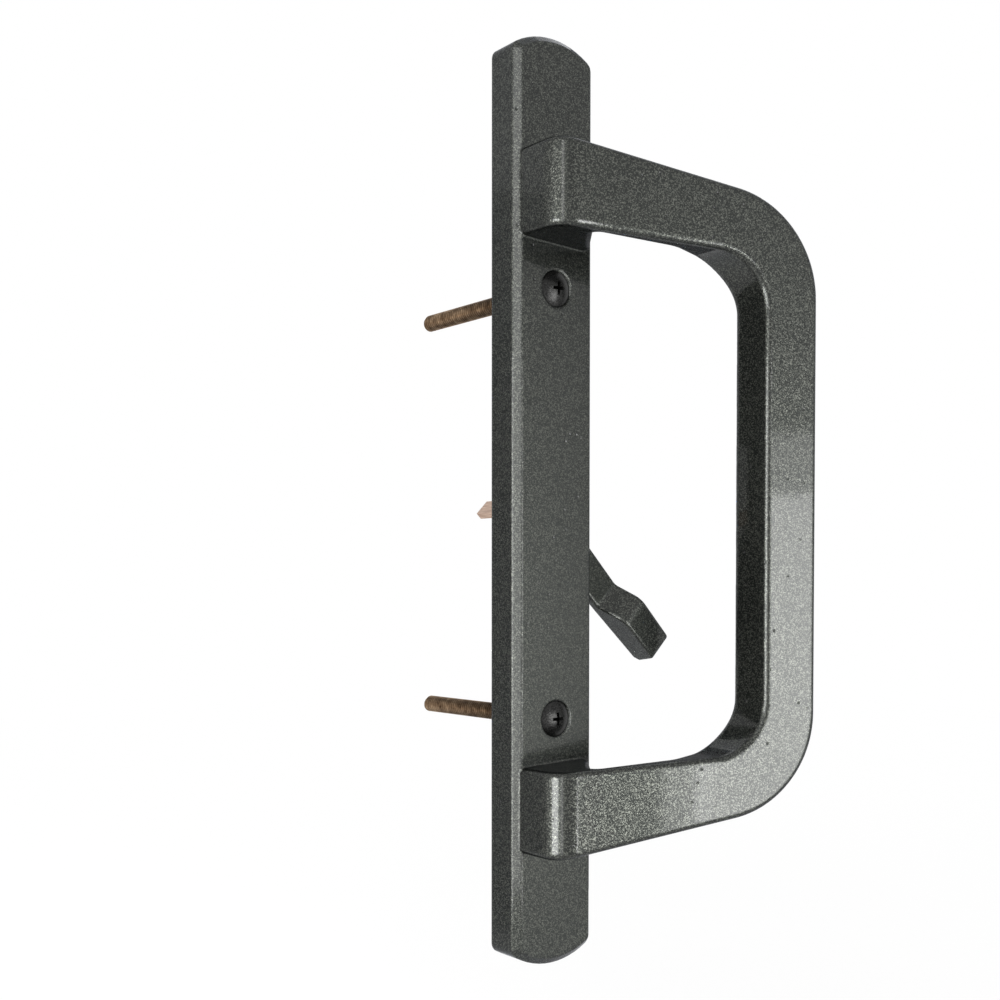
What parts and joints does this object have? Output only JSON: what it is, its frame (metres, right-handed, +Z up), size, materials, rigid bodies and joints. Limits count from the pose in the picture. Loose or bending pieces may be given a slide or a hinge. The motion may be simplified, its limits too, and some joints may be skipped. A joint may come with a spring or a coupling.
{
  "type": "patio door pull handle",
  "caption": "D-shaped pull handle on a narrow arched plate for a sliding patio door, with countersunk screws and a thumb latch lever that turns a flat tailpiece.",
  "frame": {"origin": "middle of the plate's back, on the door's surface", "axes": "+Z up along the plate, +X to the side where the grip stands out, +Y into the door, so the front faces -Y"},
  "size_m": [0.0677, 0.0818, 0.2156],
  "materials": {
    "powder_coated_zinc": "dark metallic powder coat, satin, on die-cast zinc",
    "plated_steel": "yellow plated steel",
    "copper_plated_steel": "satin copper tone"
  },
  "bodies": {
    "handle": {"pull": "powder_coated_zinc", "upper_screw": "plated_steel", "lower_screw": "plated_steel"},
    "latch": {"thumb_lever": "powder_coated_zinc", "tailpiece": "copper_plated_steel"}
  },
  "joints": [
    {"name": "latch_turn", "type": "hinge", "parent": "handle", "child": "latch", "pos_m": [0, -0.0055, 0], "axis": [0, -1, 0], "range_deg": [0, 90]}
  ]
}
